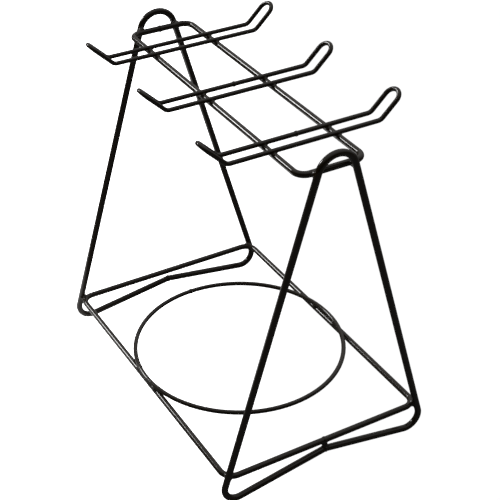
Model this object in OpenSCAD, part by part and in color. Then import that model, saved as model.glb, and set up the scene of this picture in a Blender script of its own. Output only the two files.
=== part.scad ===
// Welded wire holder stand with six double-wire hooks and a base ring.
// Frame: X along the rack, Y across it, Z up. Origin on the floor, at the centre of the footprint.
// All dimensions are in millimetres. Heights and spacings are to wire centrelines unless said.

/* [End frames] */
// Height of the end frames from the floor to the top of the arch
rack_height = 255; // [220:1:280]
// Width of the end frames over the outside of their feet
foot_span = 166; // [150:1:180]
// Diameter of the end frame wire
end_wire_d = 4.8; // [4.4:0.1:5.5]
// Bend radius of the arch
arch_r = 14; // [11:0.5:16]
// Bend radius of the two feet
foot_r = 10.5; // [8:0.5:14]
// Height of the raised middle of the front frame's bottom wire, tacked to the base frame
front_apex_height = 14.5; // [12:0.1:15]
// Height of the raised middle of the rear frame's bottom wire, which hangs free
rear_apex_height = 12.7; // [11:0.1:15]
// Bend radius at the raised middle of the bottom wire
apex_r = 6; // [5:0.5:10]

/* [Base frame] */
// Length of the base frame
base_length = 240; // [210:1:300]
// Height of the base frame
base_height = 21.4; // [21:0.1:26]
// Diameter of the wire in the base and top frames
frame_wire_d = 4.4; // [3.6:0.1:5]
// Corner radius of the base frame
base_corner_r = 9; // [7:0.5:12]
// Where a leg touches the rounded corner, as an angle from the long axis in degrees
corner_contact = 42; // [30:1:60]

/* [Top frame] */
// Width of the top frame
top_width = 47.6; // [42:0.2:60]
// How far the top frame lies below the highest centreline point of the arch
top_drop = 11.8; // [11:0.1:16]
// Corner radius of the top frame
top_corner_r = 7.4; // [5:0.2:9]

/* [Base ring] */
// Diameter of the ring wire
ring_wire_d = 3.4; // [2.5:0.1:4]
// How far the ring reaches out past the long sides of the base frame
ring_overhang = 1.2; // [0.8:0.1:2]

/* [Hooks] */
// Diameter of the hook wire
hook_wire_d = 3.2; // [2.5:0.1:3.5]
// Distance from one hook loop to the next
hook_pitch = 80; // [60:1:90]
// Spacing of the two wires of a hook loop
hook_gauge = 11.8; // [10:0.2:14]
// Distance from the middle of the rack to the start of the upward bend
hook_run = 54.4; // [40:0.2:60]
// Radius of the upward bend
hook_bend_r = 5.5; // [5:0.5:10]
// How steeply the hook tips point up, in degrees
hook_rise = 44; // [30:1:60]
// Length of the straight part between the upward bend and the rounded tip
hook_leg = 13.6; // [8:0.2:20]

/* [Welds] */
// How far the hook wires are pressed into the top frame where they're welded to it
hook_press = 1; // [0.2:0.1:1.2]
// Gap left between other crossing wires, filled by the weld bead
weld_gap = 0.05; // [0.02:0.01:0.1]
// How far a weld bead stands out of the notch between two crossing wires
bead_size = 0.8; // [0.5:0.05:0.9]
// How far the single tack between the front end frame and the base frame reaches into each
tack_bite = 0.6; // [0.4:0.05:0.8]
// Height of the raised collar where the two ends of a wire are joined
collar_height = 0.35; // [0.2:0.05:0.5]
// Width of that collar along the wire
collar_width = 2.4; // [1.5:0.1:3]

/* [Hidden] */
$fn = 48;

// A bend is drawn this much thicker than the straight wire, and the straight ends are tucked into
// it, so that the two always merge into one solid.
bend_swell = 0.02;
tuck = 0.3;

end_r = end_wire_d / 2;
frame_r = frame_wire_d / 2;
ring_wire_r = ring_wire_d / 2;
hook_r = hook_wire_d / 2;

// End frame: centres of the arch and foot bends, and the slope of the legs between them.
arch_z = rack_height - end_r - arch_r;
foot_z = end_r + foot_r;
foot_y = foot_span / 2 - end_r - foot_r;
arch_to_foot = norm([foot_y, arch_z - foot_z]);
leg_tilt = atan(foot_y / (arch_z - foot_z)) - asin((arch_r - foot_r) / arch_to_foot);
function leg_y(z) = arch_r / cos(leg_tilt) + (arch_z - z) * tan(leg_tilt);

// Base frame: its corners nestle against the inside of the four legs.
corner_to_leg = base_corner_r + frame_r + end_r / cos(leg_tilt) + weld_gap;
base_corner_x = base_length / 2 - base_corner_r;
base_corner_y = leg_y(base_height) - corner_to_leg * sin(corner_contact);
base_side_y = base_corner_y + base_corner_r;
end_x = base_corner_x + corner_to_leg * cos(corner_contact);

// Top frame: its end bars touch the inside of the end frames.
top_z = rack_height - end_r - top_drop;
top_end_x = end_x - end_r - frame_r - weld_gap;
top_side_y = top_width / 2;

// Ring: lies on the long sides of the base frame and crosses each of them twice.
ring_r = base_side_y + ring_overhang;
ring_z = base_height + frame_r + ring_wire_r + weld_gap;
ring_cross_x = sqrt(ring_r * ring_r - base_side_y * base_side_y);

// Hooks: lie on the long sides of the top frame.
hook_z = top_z + frame_r + hook_r - hook_press;
hook_xs = [hook_pitch, 0, -hook_pitch];

// ---- Wire shapes ----

// Straight wire between two points of the XY plane.
module straight(p, q, wire_r) {
    run = q - p;
    translate([p.x, p.y, 0])
        rotate([0, 90, atan2(run.y, run.x)])
            translate([0, 0, -tuck])
                cylinder(h = norm(run) + 2 * tuck, r = wire_r);
}

// Bent wire in the XY plane: an arc about the origin that starts at the angle `from`.
module bend(radius, from, sweep, wire_r) {
    rotate([0, 0, from])
        rotate_extrude(angle = sweep)
            translate([radius, 0])
                circle(r = wire_r + bend_swell);
}

// A closed wire is described by its bends, each [centre, radius], taken anticlockwise.
// A negative radius bends the wire the other way. Heading of the run from bend a to bend b:
function heading(a, b) =
    let (gap = b[0] - a[0])
    atan2(gap.y, gap.x) + asin((a[1] - b[1]) / norm(gap));

// Point where a run with the given heading leaves or meets a bend.
function touch(a, angle) = a[0] + a[1] * [sin(angle), -cos(angle)];

// Angle brought into the range 0 to 360 degrees.
function wrap(angle) = angle - 360 * floor(angle / 360);

// Closed wire loop in the XY plane: a straight run between each bend and the next.
module wire_loop(bends, wire_r) {
    count = len(bends);
    for (i = [0 : count - 1]) {
        here = bends[i];
        next = bends[(i + 1) % count];
        last = bends[(i + count - 1) % count];
        heading_in = heading(last, here);
        heading_out = heading(here, next);
        left = here[1] > 0;
        translate([here[0].x, here[0].y, 0])
            bend(
                abs(here[1]),
                left ? heading_in - 90 : heading_out + 90,
                wrap(left ? heading_out - heading_in : heading_in - heading_out),
                wire_r
            );
        straight(touch(here, heading_out), touch(next, heading_out), wire_r);
    }
}

// Flat rectangular wire frame with rounded corners. x and y are half the length and width.
module rectangle_frame(x, y, corner_r, wire_r) {
    cx = x - corner_r;
    cy = y - corner_r;
    corners = [[cx, -cy], [cx, cy], [-cx, cy], [-cx, -cy]];
    wire_loop([for (c = corners) [c, corner_r]], wire_r);
}

// ---- Wire pieces ----

// Arched end frame. Its bottom wire is bent up in the middle, so it stands on its two feet.
module end_frame(x, apex_height) {
    color("black")
        translate([x, 0, 0])
            rotate([90, 0, 90])
                wire_loop(
                    [
                        [[0, arch_z], arch_r],
                        [[-foot_y, foot_z], foot_r],
                        [[0, apex_height - apex_r], -apex_r],
                        [[foot_y, foot_z], foot_r]
                    ],
                    end_r
                );
}

module front_end_frame() {
    end_frame(end_x, front_apex_height);
}

module rear_end_frame() {
    end_frame(-end_x, rear_apex_height);
}

module base_frame() {
    color("black")
        translate([0, 0, base_height])
            rectangle_frame(base_length / 2, base_side_y, base_corner_r, frame_r);
}

module top_frame_wire() {
    translate([0, 0, top_z])
        rectangle_frame(top_end_x, top_side_y, top_corner_r, frame_r);
}

// The hook wires lie in shallow grooves that the welding presses into the top frame.
module top_frame() {
    color("black")
        difference() {
            top_frame_wire();
            for (x = hook_xs) {
                hook_runs(x);
            }
        }
}

module base_ring() {
    color("black")
        translate([0, 0, ring_z])
            rotate_extrude()
                translate([ring_r, 0])
                    circle(r = ring_wire_r);
}

// One upturned end of a hook loop: two bends, two short legs and a half-round tip.
module hook_end() {
    for (side = [-1, 1]) {
        translate([side * hook_gauge / 2, hook_run, hook_bend_r])
            rotate([90, 0, 90])
                bend(hook_bend_r, -90, hook_rise, hook_r);
    }
    translate([0, hook_run + hook_bend_r * sin(hook_rise), hook_bend_r * (1 - cos(hook_rise))])
        rotate([hook_rise, 0, 0]) {
            for (side = [-1, 1]) {
                edge = side * hook_gauge / 2;
                straight([edge, 0], [edge, hook_leg], hook_r);
            }
            translate([0, hook_leg, 0])
                bend(hook_gauge / 2, 0, 180, hook_r);
        }
}

// The two level wires of a hook loop.
module hook_runs(x) {
    translate([x, 0, hook_z]) {
        for (side = [-1, 1]) {
            edge = side * hook_gauge / 2;
            straight([edge, -hook_run], [edge, hook_run], hook_r);
        }
    }
}

// One closed wire loop that forms the two opposite hooks.
module hook_loop(x) {
    color("black") {
        hook_runs(x);
        translate([x, 0, hook_z]) {
            hook_end();
            rotate([0, 0, 180])
                hook_end();
        }
    }
}

// ---- Welds ----

// Round beads at the given points, with the wires they join (the children) taken out.
// `turn` points the poles of the spheres, along Z at first, into the wires.
module beads(points, radius, turn = [0, 0, 0]) {
    color("black")
        difference() {
            for (p = points) {
                translate(p)
                    rotate(turn)
                        sphere(r = radius);
            }
            children();
        }
}

module hook_loop_welds() {
    contact_z = top_z + frame_r - hook_press / 2;
    points = [
        for (x = hook_xs, side = [-1, 1], end = [-1, 1])
            [x + side * hook_gauge / 2, end * top_side_y, contact_z]
    ];
    beads(points, hook_r + bead_size) {
        top_frame_wire();
        for (x = hook_xs) {
            hook_runs(x);
        }
    }
}

module top_frame_welds() {
    contact_x = top_end_x + frame_r + weld_gap / 2;
    points = [
        for (end = [-1, 1], side = [-1, 1])
            [end * contact_x, side * leg_y(top_z), top_z]
    ];
    beads(points, frame_r + bead_size, turn = [0, 90, 0]) {
        top_frame_wire();
        front_end_frame();
        rear_end_frame();
    }
}

module base_frame_welds() {
    reach = base_corner_r + frame_r;
    contact_x = base_corner_x + reach * cos(corner_contact);
    contact_y = base_corner_y + reach * sin(corner_contact);
    points = [
        for (end = [-1, 1], side = [-1, 1])
            [end * contact_x, side * contact_y, base_height]
    ];
    beads(points, frame_r + bead_size, turn = [0, 90, 0]) {
        base_frame();
        front_end_frame();
        rear_end_frame();
    }
}

module ring_welds() {
    contact_z = base_height + frame_r + weld_gap / 2;
    points = [
        for (end = [-1, 1], side = [-1, 1])
            [end * ring_cross_x, side * base_side_y, contact_z]
    ];
    beads(points, ring_wire_r + bead_size) {
        base_frame();
        base_ring();
    }
}

// Raised collar around a wire that runs along Y.
module collar(at, wire_r) {
    crest = wire_r + collar_height;
    edge = collar_width / 2;
    color("black")
        translate(at)
            rotate([90, 0, 0])
                rotate_extrude()
                    polygon([
                        [wire_r, -edge],
                        [crest, -edge / 2],
                        [crest, edge / 2],
                        [wire_r, edge]
                    ]);
}

// The end frame wires are joined at the raised middle of the bottom, so these collars are bent.
module end_frame_butt_welds() {
    sweep = collar_width / apex_r * 180 / PI;
    color("black")
        difference() {
            for (apex = [[end_x, front_apex_height], [-end_x, rear_apex_height]]) {
                translate([apex[0], 0, apex[1] - apex_r])
                    rotate([90, 0, 90])
                        bend(apex_r, 90 - sweep / 2, sweep, end_r + collar_height);
            }
            front_end_frame();
            rear_end_frame();
        }
}

module base_frame_butt_weld() {
    collar([base_length / 2, 0, base_height], frame_r);
}

module top_frame_butt_weld() {
    collar([-top_end_x, 0, top_z], frame_r);
}

module ring_butt_weld() {
    collar([-ring_r, 0, ring_z], ring_wire_r);
}

module hook_loop_butt_welds() {
    for (x = hook_xs) {
        collar([x - hook_gauge / 2, 0, hook_z], hook_r);
    }
}

// Single tack that bridges the gap between the base frame and the raised middle of the front end
// frame.
module apex_tack() {
    base_end = [base_length / 2, 0, base_height];
    apex = [end_x, 0, front_apex_height];
    gap = norm(apex - base_end) - frame_r - end_r;
    beads([(base_end + apex) / 2], gap / 2 + tack_bite) {
        base_frame();
        front_end_frame();
    }
}

// ---- Assembly ----

front_end_frame();
rear_end_frame();
base_frame();
top_frame();
base_ring();
hook_loop(hook_xs[0]);  // hook_loop_front
hook_loop(hook_xs[1]);  // hook_loop_middle
hook_loop(hook_xs[2]);  // hook_loop_rear
hook_loop_welds();
top_frame_welds();
base_frame_welds();
ring_welds();
end_frame_butt_welds();
base_frame_butt_weld();
top_frame_butt_weld();
ring_butt_weld();
hook_loop_butt_welds();
apex_tack();
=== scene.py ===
"""Looks of the welded wire holder stand. Metres, in the row frame: X along the rack, Z up.

Every wire is swept as one smooth tube along the CAD wire's centreline, and every weld is a
fillet grown between the wires it joins. The CAD nodes they stand for stay for collision,
hidden.
"""

import math

import bmesh
import bpy
import numpy as np
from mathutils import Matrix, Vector, noise


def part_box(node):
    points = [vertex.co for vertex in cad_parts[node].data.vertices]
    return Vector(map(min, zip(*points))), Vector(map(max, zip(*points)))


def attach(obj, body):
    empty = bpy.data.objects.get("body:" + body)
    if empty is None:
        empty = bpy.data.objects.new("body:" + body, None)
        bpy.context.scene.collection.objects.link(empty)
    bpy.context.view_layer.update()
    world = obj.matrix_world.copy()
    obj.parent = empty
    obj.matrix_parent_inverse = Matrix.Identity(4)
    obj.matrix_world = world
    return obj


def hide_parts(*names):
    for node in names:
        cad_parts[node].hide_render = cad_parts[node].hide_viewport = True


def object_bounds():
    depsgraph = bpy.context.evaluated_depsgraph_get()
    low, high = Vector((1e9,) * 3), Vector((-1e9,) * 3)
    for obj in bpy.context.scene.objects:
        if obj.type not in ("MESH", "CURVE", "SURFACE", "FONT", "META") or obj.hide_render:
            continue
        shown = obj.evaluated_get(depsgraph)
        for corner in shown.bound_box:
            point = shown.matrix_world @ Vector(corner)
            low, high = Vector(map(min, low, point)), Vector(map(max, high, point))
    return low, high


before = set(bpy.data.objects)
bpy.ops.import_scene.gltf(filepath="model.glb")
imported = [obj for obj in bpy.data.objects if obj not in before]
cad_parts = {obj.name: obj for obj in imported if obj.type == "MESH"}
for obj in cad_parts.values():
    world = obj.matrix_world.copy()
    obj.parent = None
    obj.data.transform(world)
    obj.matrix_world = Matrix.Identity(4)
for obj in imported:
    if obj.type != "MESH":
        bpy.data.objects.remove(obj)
CAD_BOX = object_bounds()

MM = 0.001

# ---- Bends of the wires, the same as the CAD model's ----

ARCH_R = 14 * MM
FOOT_R = 10.5 * MM
FRONT_APEX_HEIGHT = 14.5 * MM
REAR_APEX_HEIGHT = 12.7 * MM
APEX_R = 6 * MM
BASE_CORNER_R = 9 * MM
TOP_CORNER_R = 7.4 * MM
HOOK_WIRE_R = 1.6 * MM
HOOK_RUN = 54.4 * MM
HOOK_BEND_R = 5.5 * MM
HOOK_RISE = math.radians(44)
HOOK_LEG = 13.6 * MM

# ---- Sizes read from the CAD nodes ----


def box(node):
    low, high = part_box(node)
    return np.array(low), np.array(high)


end_low, end_high = box("front_end_frame")
END_R = (end_high[0] - end_low[0]) / 2
END_X = (end_high[0] + end_low[0]) / 2
HEIGHT = end_high[2]
FOOT_Y = end_high[1] - END_R - FOOT_R
FOOT_Z = END_R + FOOT_R
ARCH_Z = HEIGHT - END_R - ARCH_R

base_low, base_high = box("base_frame")
FRAME_R = (base_high[2] - base_low[2]) / 2
BASE_Z = (base_high[2] + base_low[2]) / 2
BASE_X = base_high[0] - FRAME_R
BASE_Y = base_high[1] - FRAME_R

top_low, top_high = box("top_frame")
TOP_Z = top_low[2] + FRAME_R
TOP_X = top_high[0] - FRAME_R
TOP_Y = top_high[1] - FRAME_R

ring_low, ring_high = box("base_ring")
RING_WIRE_R = (ring_high[2] - ring_low[2]) / 2
RING_Z = (ring_high[2] + ring_low[2]) / 2
RING_R = ring_high[0] - RING_WIRE_R

hook_low, hook_high = box("hook_loop_middle")
HOOK_GAUGE = hook_high[0] - hook_low[0] - 2 * HOOK_WIRE_R
HOOK_Z = hook_low[2] + HOOK_WIRE_R
HOOK_NODES = ["hook_loop_front", "hook_loop_middle", "hook_loop_rear"]


def middle_x(node):
    low, high = box(node)
    return (low[0] + high[0]) / 2


# ---- Centrelines ----

ARC_STEP = math.radians(4)


def arc(centre, radius, start, sweep):
    """Points on an arc in a plane, from the angle `start` on through `sweep`."""
    count = max(4, math.ceil(abs(sweep) / ARC_STEP))
    angles = start + np.linspace(0, sweep, count + 1)
    return np.array(centre) + radius * np.stack([np.cos(angles), np.sin(angles)], axis=1)


def heading(a, b):
    """Direction of the straight run from bend a to bend b, each (centre, signed radius)."""
    gap = np.array(b[0]) - np.array(a[0])
    return math.atan2(gap[1], gap[0]) + math.asin((a[1] - b[1]) / np.hypot(*gap))


def belt(bends):
    """Closed loop round a list of bends, anticlockwise; a negative radius bends the other way."""
    arcs = []
    for i, bend in enumerate(bends):
        centre, radius = bend
        heading_in = heading(bends[i - 1], bend)
        heading_out = heading(bend, bends[(i + 1) % len(bends)])
        turn = heading_out - heading_in
        if radius > 0:
            arcs.append(arc(centre, radius, heading_in - math.pi / 2, turn % math.tau))
        else:
            arcs.append(arc(centre, -radius, heading_in + math.pi / 2, -(-turn % math.tau)))
    return np.concatenate(arcs)


def rectangle(x, y, corner_r, z):
    cx = x - corner_r
    cy = y - corner_r
    corners = [(cx, -cy), (cx, cy), (-cx, cy), (-cx, -cy)]
    flat = belt([(corner, corner_r) for corner in corners])
    return np.column_stack([flat, np.full(len(flat), z)])


def end_frame_path(x, apex_height):
    flat = belt([
        ((0, ARCH_Z), ARCH_R),
        ((-FOOT_Y, FOOT_Z), FOOT_R),
        ((0, apex_height - APEX_R), -APEX_R),
        ((FOOT_Y, FOOT_Z), FOOT_R),
    ])
    return np.column_stack([np.full(len(flat), x), flat])


def ring_path():
    flat = arc((0, 0), RING_R, 0, math.tau)[:-1]
    return np.column_stack([flat, np.full(len(flat), RING_Z)])


def hook_path(x):
    """Closed loop: along one level wire, up and round a tip, back along the other, and the same
    at the far end."""
    side = HOOK_GAUGE / 2
    bend = arc((HOOK_RUN, HOOK_BEND_R), HOOK_BEND_R, -math.pi / 2, HOOK_RISE)
    rise = np.array([math.cos(HOOK_RISE), math.sin(HOOK_RISE)])
    tip_start = bend[-1] + HOOK_LEG * rise
    tip = arc((0, 0), side, 0, math.pi)
    tip_yz = tip_start + tip[:, 1:] * rise
    up = np.column_stack([np.full(len(bend), side), bend])
    over = np.column_stack([tip[:, 0], tip_yz])
    down = np.column_stack([np.full(len(bend), -side), bend[::-1]])
    half = np.concatenate([up, over, down])
    return np.concatenate([half, half * (-1, -1, 1)]) + (x, 0, HOOK_Z)


# ---- Mesh building ----

SAME_POINT = 0.001 * MM


def resample(path, spacing):
    """The same closed line with extra points, so that no run of it is longer than `spacing`."""
    points = []
    for start, end in zip(path, np.roll(path, -1, axis=0)):
        length = np.linalg.norm(end - start)
        if length < SAME_POINT:
            continue
        count = math.ceil(length / spacing)
        points.extend(start + (end - start) * i / count for i in range(count))
    return np.array(points)


coatings = {}


def add_piece(node, bm, slot):
    """Turns a bmesh into a smooth piece that stands for a CAD node, rides on the stand and wears
    the coating of a material slot."""
    name = "coated_" + node
    mesh = bpy.data.meshes.new(name)
    bmesh.ops.recalc_face_normals(bm, faces=bm.faces)
    for face in bm.faces:
        face.smooth = True
    bm.to_mesh(mesh)
    bm.free()
    mesh.materials.append(coatings[slot])
    obj = bpy.data.objects.new(name, mesh)
    bpy.context.scene.collection.objects.link(obj)
    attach(obj, "root")
    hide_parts(node)


def sweep(bm, path, radii, sides, closed=True):
    """Tube along a path. The ring of points is carried along without twisting, and on a closed
    path what twist is left is spread over the whole length."""
    count = len(path)
    after = np.roll(path, -1, axis=0)
    before = np.roll(path, 1, axis=0)
    if not closed:
        after[-1] = path[-1]
        before[0] = path[0]
    tangents = [Vector(t).normalized() for t in after - before]
    normal = tangents[0].orthogonal().normalized()
    normals = [normal]
    for i in range(1, count):
        turn = tangents[i - 1].rotation_difference(tangents[i])
        normal = (turn @ normal).normalized()
        normals.append(normal)
    twist = 0
    if closed:
        back = tangents[-1].rotation_difference(tangents[0]) @ normals[-1]
        side = tangents[0].cross(normals[0])
        twist = math.atan2(back.dot(side), back.dot(normals[0]))
    rings = []
    for i in range(count):
        across = tangents[i].cross(normals[i])
        ring = []
        for k in range(sides):
            angle = math.tau * k / sides - twist * i / count
            offset = math.cos(angle) * normals[i] + math.sin(angle) * across
            ring.append(bm.verts.new(Vector(path[i]) + offset * radii[i]))
        rings.append(ring)
    for i in range(count if closed else count - 1):
        near = rings[i]
        far = rings[(i + 1) % count]
        for k in range(sides):
            after_k = (k + 1) % sides
            bm.faces.new((near[k], near[after_k], far[after_k], far[k]))
    if not closed:
        bm.faces.new(rings[0])
        bm.faces.new(rings[-1])


WIRE_SIDES = 32
WIRE_SPACING = 5 * MM


def wire(node, path, radius, slot):
    bm = bmesh.new()
    sweep(bm, path, np.full(len(path), radius), WIRE_SIDES)
    add_piece(node, bm, slot)


# ---- Materials ----

COATING = (0.0180, 0.0110, 0.0030)
COATING_LIGHT = (0.0260, 0.0160, 0.0055)
RUBBED = (0.045, 0.042, 0.040)

# Clouds vary the gloss from GLOSSIEST to DULLEST times a coating's roughness.
CLOUD_SCALE = 45
CLOUD_FROM = 0.3
CLOUD_TO = 0.7
GLOSSIEST = 0.8
DULLEST = 1.25

# The grain is the orange peel. Scuffs are SCUFF_DEPTH times as deep as it.
GRAIN_SCALE = 420
GRAIN_STRENGTH = 0.6
SCUFF_SCALE = 900
SCUFF_FROM = 0.50
SCUFF_TO = 0.66
SCUFF_STRENGTH = 0.3
SCUFF_DEPTH = 0.5
RUBBED_ROUGHER = 0.35
COAT_WEIGHT = 0.3
COAT_ROUGHNESS = 0.08


def add_node(tree, kind, inputs=None, **settings):
    node = tree.nodes.new(kind)
    for key, value in settings.items():
        setattr(node, key, value)
    for key, value in (inputs or {}).items():
        if isinstance(value, bpy.types.NodeSocket):
            tree.links.new(value, node.inputs[key])
        else:
            node.inputs[key].default_value = value
    return node


def math_node(tree, operation, a, b):
    return add_node(tree, "ShaderNodeMath", {0: a, 1: b}, operation=operation).outputs[0]


def mix_node(tree, factor, a, b):
    inputs = {"Factor": factor, "A": a, "B": b}
    return add_node(tree, "ShaderNodeMix", inputs, data_type="RGBA").outputs["Result"]


def noise_node(tree, position, scale, detail=3):
    inputs = {"Vector": position, "Scale": scale, "Detail": detail}
    return add_node(tree, "ShaderNodeTexNoise", inputs).outputs["Fac"]


def ramp(tree, value, low, high, to_low=0.0, to_high=1.0):
    inputs = {
        "Value": value,
        "From Min": low,
        "From Max": high,
        "To Min": to_low,
        "To Max": to_high,
    }
    return add_node(tree, "ShaderNodeMapRange", inputs).outputs["Result"]


def coating(slot, roughness, peel, wear_low, wear_high, wear_amount):
    """Makes a slot's gloss black coating. `peel` is the depth of its orange peel in metres.
    Small spots of it are rubbed dull below the height wear_low, fading out at wear_high."""
    material = bpy.data.materials.new(slot)
    material.use_nodes = True
    tree = material.node_tree
    shader = tree.nodes["Principled BSDF"]
    position = add_node(tree, "ShaderNodeTexCoord").outputs["Object"]
    height = add_node(tree, "ShaderNodeSeparateXYZ", {0: position}).outputs["Z"]

    clouds = noise_node(tree, position, CLOUD_SCALE)
    grain = noise_node(tree, position, GRAIN_SCALE, detail=4)
    scuffs = noise_node(tree, position, SCUFF_SCALE, detail=6)

    below = ramp(tree, height, wear_low, wear_high, 1.0, 0.0)
    spots = ramp(tree, scuffs, SCUFF_FROM, SCUFF_TO)
    worn = math_node(tree, "MULTIPLY", math_node(tree, "MULTIPLY", below, spots), wear_amount)

    black = mix_node(tree, clouds, (*COATING, 1), (*COATING_LIGHT, 1))
    colour = mix_node(tree, worn, black, (*RUBBED, 1))
    tree.links.new(colour, shader.inputs["Base Color"])

    glossy = roughness * GLOSSIEST
    matt = roughness * DULLEST
    gloss = ramp(tree, clouds, CLOUD_FROM, CLOUD_TO, glossy, matt)
    dull = math_node(tree, "MULTIPLY", worn, RUBBED_ROUGHER)
    rough = math_node(tree, "ADD", gloss, dull)
    tree.links.new(rough, shader.inputs["Roughness"])

    peel_bump = {"Strength": GRAIN_STRENGTH, "Distance": peel, "Height": grain}
    peeled = add_node(tree, "ShaderNodeBump", peel_bump).outputs[0]
    scuff_bump = {
        "Strength": SCUFF_STRENGTH,
        "Distance": peel * SCUFF_DEPTH,
        "Height": scuffs,
        "Normal": peeled,
    }
    scuffed = add_node(tree, "ShaderNodeBump", scuff_bump).outputs[0]
    tree.links.new(scuffed, shader.inputs["Normal"])
    shader.inputs["Coat Weight"].default_value = COAT_WEIGHT
    shader.inputs["Coat Roughness"].default_value = COAT_ROUGHNESS
    coatings[slot] = material


# ---- Wires ----

FLOOR_RUB = 1.5 * MM

coating("end_frame_coating", 0.14, 0.05 * MM, 0.0, FLOOR_RUB, 1.0)
coating("frame_coating", 0.13, 0.05 * MM, BASE_Z, BASE_Z + FRAME_R, 0.15)
coating("ring_coating", 0.14, 0.04 * MM, RING_Z, RING_Z + RING_WIRE_R, 0.2)
coating("hook_coating", 0.14, 0.04 * MM, HOOK_Z, HOOK_Z + 2 * HOOK_WIRE_R, 0.25)
coating("weld_coating", 0.28, 0.12 * MM, 0.0, FLOOR_RUB, 0.0)

front_end = end_frame_path(END_X, FRONT_APEX_HEIGHT)
rear_end = end_frame_path(-END_X, REAR_APEX_HEIGHT)
base_rectangle = rectangle(BASE_X, BASE_Y, BASE_CORNER_R, BASE_Z)
top_rectangle = rectangle(TOP_X, TOP_Y, TOP_CORNER_R, TOP_Z)
WIRES = [
    ("front_end_frame", front_end, END_R, "end_frame_coating"),
    ("rear_end_frame", rear_end, END_R, "end_frame_coating"),
    ("base_frame", base_rectangle, FRAME_R, "frame_coating"),
    ("top_frame", top_rectangle, FRAME_R, "frame_coating"),
    ("base_ring", ring_path(), RING_WIRE_R, "ring_coating"),
]
for node in HOOK_NODES:
    WIRES.append((node, hook_path(middle_x(node)), HOOK_WIRE_R, "hook_coating"))

paths = {}
for node, path, radius, slot in WIRES:
    points = resample(path, WIRE_SPACING)
    paths[node] = (points, radius)
    wire(node, points, radius, slot)

# ---- Welds between crossing wires ----


def distance_to_wire(points, node):
    """Distance from each point to the surface of a wire, negative inside it."""
    path, radius = paths[node]
    centre = points.mean(axis=0)
    reach = np.linalg.norm(path - centre, axis=1) < 4 * WIRE_SPACING
    best = np.full(len(points), np.inf)
    for i in np.flatnonzero(reach):
        start = path[i]
        run = path[(i + 1) % len(path)] - start
        along = np.clip((points - start) @ run / (run @ run), 0, 1)
        gap = np.linalg.norm(points - start - along[:, None] * run, axis=1)
        best = np.minimum(best, gap)
    return best - radius


def soft_union(a, b, blend):
    """Joins two distance fields with a fillet about as wide as `blend`."""
    near = np.maximum(blend - np.abs(a - b), 0) / blend
    return np.minimum(a, b) - near * near * blend / 4


FILLET_STEPS = 40
UNDER_SKIN = 0.02 * MM
SMALLEST_FILLET = 0.2 * MM
LUMP_HEIGHT = 0.22
LUMP_SCALE = 1.7
LUMP_SEED_STEP = 7.3
BEAD_BLEND = 0.6


def grow_fillet(bm, contact, first, second, bead, blend, reach, seed):
    """Weld metal round a contact point. A sphere's points are moved out along straight lines
    until they leave the blend of the two wires and a slightly lumpy bead. `bead` is the bead's
    radius, `blend` how wide its fillets are and `reach` the farthest that a point may go."""
    ball = bmesh.ops.create_icosphere(bm, subdivisions=4, radius=1)["verts"]
    directions = np.array([v.co for v in ball])
    shift = Vector((seed * LUMP_SEED_STEP, 0, 0))
    lump = np.array([noise.noise(Vector(d * LUMP_SCALE) + shift) for d in directions])
    edge = np.full(len(ball), reach)
    crossed = np.zeros(len(ball), bool)
    step = reach / FILLET_STEPS
    metal_before = np.full(len(ball), -bead)
    for i in range(1, FILLET_STEPS + 1):
        points = contact + directions * step * i
        wires = soft_union(distance_to_wire(points, first), distance_to_wire(points, second), blend)
        lumpy_bead = step * i - bead * (1 + LUMP_HEIGHT * lump)
        metal = soft_union(wires, lumpy_bead, blend * BEAD_BLEND) + UNDER_SKIN
        leaving = ~crossed & (metal >= 0)
        share = -metal_before / np.maximum(metal - metal_before, 1e-9)
        edge[leaving] = (step * (i - 1 + share))[leaving]
        crossed |= leaving
        metal_before = metal
    for vert, direction, radius in zip(ball, directions, edge):
        vert.co = Vector(contact + direction * max(radius, SMALLEST_FILLET))


def fillets(node, contacts, bead, blend, reach):
    """One piece with a fillet at each contact: (point, first wire, second wire)."""
    bm = bmesh.new()
    for seed, (point, first, second) in enumerate(contacts):
        grow_fillet(bm, np.array(point), first, second, bead, blend, reach, seed + len(node))
    add_piece(node, bm, "weld_coating")


CONTACT_SPACING = 0.5 * MM
TOUCHING = 1 * MM


def crossings(first, second):
    """Where two wires touch or nearly touch: at most one place in each quarter round the
    middle of the first wire, seen from above."""
    found = []
    first_path, first_r = paths[first]
    second_path, second_r = paths[second]
    first_points = resample(first_path, CONTACT_SPACING)
    second_points = resample(second_path, CONTACT_SPACING)
    middle = (first_points.min(axis=0) + first_points.max(axis=0)) / 2
    for quarter in ((1, 1), (-1, 1), (-1, -1), (1, -1)):
        one = first_points[((first_points - middle)[:, :2] * quarter >= 0).all(axis=1)]
        other = second_points[((second_points - middle)[:, :2] * quarter >= 0).all(axis=1)]
        if len(one) == 0 or len(other) == 0:
            continue
        gaps = np.linalg.norm(one[:, None] - other[None], axis=2)
        i, k = np.unravel_index(gaps.argmin(), gaps.shape)
        if gaps[i, k] < first_r + second_r + TOUCHING:
            share = first_r / (first_r + second_r)
            found.append((one[i] + (other[k] - one[i]) * share, first, second))
    return found


END_NODES = ["front_end_frame", "rear_end_frame"]
hook_contacts = [c for node in HOOK_NODES for c in crossings(node, "top_frame")]
top_contacts = [c for node in END_NODES for c in crossings("top_frame", node)]
base_contacts = [c for node in END_NODES for c in crossings("base_frame", node)]
ring_contacts = crossings("base_ring", "base_frame")

fillets("hook_loop_welds", hook_contacts, bead=2.0 * MM, blend=1.2 * MM, reach=3.5 * MM)
fillets("top_frame_welds", top_contacts, bead=2.5 * MM, blend=1.6 * MM, reach=4.4 * MM)
fillets("base_frame_welds", base_contacts, bead=2.6 * MM, blend=1.6 * MM, reach=4.6 * MM)
fillets("ring_welds", ring_contacts, bead=2.2 * MM, blend=1.2 * MM, reach=3.8 * MM)

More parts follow.
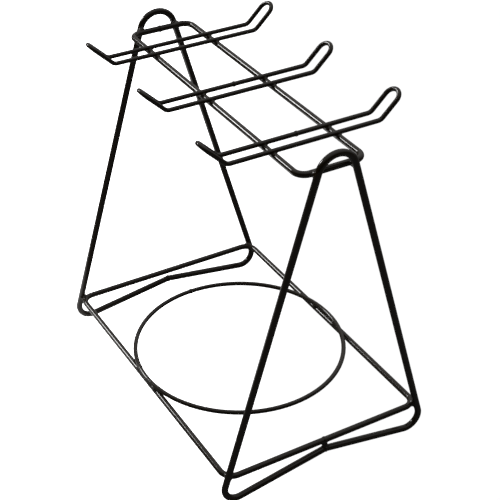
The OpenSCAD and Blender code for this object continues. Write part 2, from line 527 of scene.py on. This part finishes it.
apex = np.array((END_X, 0, FRONT_APEX_HEIGHT))
base_end = np.array((BASE_X, 0, BASE_Z))
tack = [((apex + base_end) / 2, "base_frame", "front_end_frame")]
fillets("apex_tack", tack, bead=2.0 * MM, blend=2.8 * MM, reach=4.2 * MM)

# ---- Collars where the ends of a wire are butt welded ----

COLLAR_SPACING = 0.2 * MM
COLLAR_WIDTH = 2.6 * MM
COLLAR_HEIGHT = 0.35 * MM
COLLAR_EDGE = 0.1
COLLAR_ROUNDING = 1.5
COLLAR_WOBBLE = 0.2
COLLAR_WOBBLE_SCALE = 1.5
COLLAR_SEED_STEP = 3.1


def collar(bm, node, middle, seed):
    """Raised ring round a wire. At both ends its surface sinks under the wire's, by COLLAR_EDGE
    times its height."""
    path, radius = paths[node]
    points = resample(path, COLLAR_SPACING)
    start = np.linalg.norm(points - np.array(middle), axis=1).argmin()
    half = round(COLLAR_WIDTH / COLLAR_SPACING / 2)
    along = points[(start + np.arange(-half, half + 1)) % len(points)]
    place = np.linspace(-1, 1, len(along))
    dome = (1 - place * place) ** COLLAR_ROUNDING
    swell = COLLAR_HEIGHT * ((1 + COLLAR_EDGE) * dome - COLLAR_EDGE)
    shift = seed * COLLAR_SEED_STEP
    bumps = [noise.noise(Vector((shift, p * COLLAR_WOBBLE_SCALE, 0))) for p in place]
    uneven = swell * (1 + COLLAR_WOBBLE * np.array(bumps))
    sweep(bm, along, radius + uneven, WIRE_SIDES, closed=False)


def collars(node, places):
    bm = bmesh.new()
    for seed, (on, middle) in enumerate(places):
        collar(bm, on, middle, seed)
    add_piece(node, bm, "weld_coating")


collars("end_frame_butt_welds", [
    ("front_end_frame", (END_X, 0, FRONT_APEX_HEIGHT)),
    ("rear_end_frame", (-END_X, 0, REAR_APEX_HEIGHT)),
])
collars("base_frame_butt_weld", [("base_frame", (BASE_X, 0, BASE_Z))])
collars("top_frame_butt_weld", [("top_frame", (-TOP_X, 0, TOP_Z))])
collars("ring_butt_weld", [("base_ring", (-RING_R, 0, RING_Z))])
collars("hook_loop_butt_welds", [
    (node, (middle_x(node) - HOOK_GAUGE / 2, 0, HOOK_Z)) for node in HOOK_NODES
])

# ---- Floor ----

FLOOR_HALF = 6.0
FLOOR_CELLS = 24

# To the camera the floor fades from GLARE at the left to WHITE at the right. GLARE_TO and
# WHITE_FROM are places across the picture, from 0 to 1.
WHITE = 1.03
GLARE = 3.0
GLARE_TO = 0.25
WHITE_FROM = 0.62

# To the wires it is bright in a pool that fades out between two distances from its middle.
POOL_BRIGHT = 1.3
POOL_MIDDLE = (-0.20, -0.20, 0)
POOL_FROM = 0.06
POOL_TO = 0.20
DIM_PAPER = (0.2, 0.2, 0.2, 1)

floor_bm = bmesh.new()
bmesh.ops.create_grid(floor_bm, x_segments=FLOOR_CELLS, y_segments=FLOOR_CELLS, size=FLOOR_HALF)
floor_mesh = bpy.data.meshes.new("floor")
floor_bm.to_mesh(floor_mesh)
floor_bm.free()
floor = bpy.data.objects.new("floor", floor_mesh)
bpy.context.scene.collection.objects.link(floor)


def lit_paper():
    """White paper to the camera, overexposed at the left of the picture, where it eats into the
    thin far wires. To the wires it is bright only in a pool of light beside the rack, so that
    they stay black but for a soft shine on their lower sides."""
    material = bpy.data.materials.new("floor")
    material.use_nodes = True
    tree = material.node_tree
    tree.nodes.clear()
    position = add_node(tree, "ShaderNodeTexCoord").outputs["Object"]
    offset = {0: position, 1: POOL_MIDDLE}
    away = add_node(tree, "ShaderNodeVectorMath", offset, operation="DISTANCE").outputs["Value"]
    glow = ramp(tree, away, POOL_FROM, POOL_TO, POOL_BRIGHT, 0.0)
    pool = add_node(tree, "ShaderNodeEmission", {"Strength": glow}).outputs[0]
    paper = add_node(tree, "ShaderNodeBsdfDiffuse", {"Color": DIM_PAPER}).outputs[0]
    for_wires = add_node(tree, "ShaderNodeAddShader", {0: pool, 1: paper}).outputs[0]
    picture = add_node(tree, "ShaderNodeTexCoord").outputs["Window"]
    across = add_node(tree, "ShaderNodeSeparateXYZ", {0: picture}).outputs["X"]
    white = ramp(tree, across, GLARE_TO, WHITE_FROM, GLARE, WHITE)
    seen = add_node(tree, "ShaderNodeEmission", {"Strength": white}).outputs[0]
    is_camera = add_node(tree, "ShaderNodeLightPath").outputs["Is Camera Ray"]
    mixed = add_node(tree, "ShaderNodeMixShader", {0: is_camera, 1: for_wires, 2: seen}).outputs[0]
    add_node(tree, "ShaderNodeOutputMaterial", {"Surface": mixed})
    return material


floor_mesh.materials.append(lit_paper())

# ---- Light ----

CENTRE = (CAD_BOX[0] + CAD_BOX[1]) / 2
DOME_AZIMUTH = 230
DOME_ELEVATION = 60
DOME_FROM = 0.1
DOME_TO = 0.9
DOME_DIM = 0.015
DOME_BRIGHT = 0.45


def direction(azimuth, elevation):
    """Unit vector towards a place round the rack: azimuth 0 is its -Y side and 90 its +X side."""
    a = math.radians(azimuth)
    e = math.radians(elevation)
    return Vector((math.sin(a) * math.cos(e), -math.cos(a) * math.cos(e), math.sin(e)))


def studio():
    """Backdrop white to the camera. To the wires it is dim, and lightest high up behind."""
    world = bpy.data.worlds.new("studio")
    world.use_nodes = True
    tree = world.node_tree
    tree.nodes.clear()
    towards = add_node(tree, "ShaderNodeTexCoord").outputs["Generated"]
    toplight = {0: towards, 1: direction(DOME_AZIMUTH, DOME_ELEVATION)}
    facing = add_node(tree, "ShaderNodeVectorMath", toplight, operation="DOT_PRODUCT")
    dome = ramp(tree, facing.outputs["Value"], DOME_FROM, DOME_TO, DOME_DIM, DOME_BRIGHT)
    is_camera = add_node(tree, "ShaderNodeLightPath").outputs["Is Camera Ray"]
    seen = math_node(tree, "MULTIPLY", is_camera, WHITE)
    strength = math_node(tree, "MAXIMUM", seen, dome)
    white = {"Color": (1, 1, 1, 1), "Strength": strength}
    light = add_node(tree, "ShaderNodeBackground", white).outputs[0]
    add_node(tree, "ShaderNodeOutputWorld", {"Surface": light})
    return world


def softbox(name, azimuth, elevation, distance, size, power):
    """Square area light aimed at the stand."""
    light = bpy.data.lights.new(name, "AREA")
    light.shape = "SQUARE"
    light.size = size
    light.energy = power
    obj = bpy.data.objects.new(name, light)
    towards = direction(azimuth, elevation)
    obj.location = CENTRE + towards * distance
    obj.rotation_mode = "QUATERNION"
    obj.rotation_quaternion = (-towards).to_track_quat("-Z", "Y")
    bpy.context.scene.collection.objects.link(obj)


bpy.context.scene.world = studio()
softbox("window", azimuth=-57, elevation=29, distance=2.0, size=0.42, power=10)

# ---- Camera ----

CAMERA_AZIMUTH = 59.93
CAMERA_ELEVATION = 33.96
CAMERA_DISTANCE = 0.9315
LENS_MM = 93.12
SENSOR_MM = 36
AIM_OFFSET = Vector((0.0118, 0.0024, -0.0122))

camera_data = bpy.data.cameras.new("camera")
camera_data.sensor_width = SENSOR_MM
camera_data.lens = LENS_MM
camera = bpy.data.objects.new("camera", camera_data)
back = direction(CAMERA_AZIMUTH, CAMERA_ELEVATION)
camera.location = CENTRE + AIM_OFFSET + back * CAMERA_DISTANCE
camera.rotation_mode = "QUATERNION"
camera.rotation_quaternion = (-back).to_track_quat("-Z", "Y")
bpy.context.scene.collection.objects.link(camera)
bpy.context.scene.camera = camera
bpy.context.scene.view_settings.view_transform = "Standard"
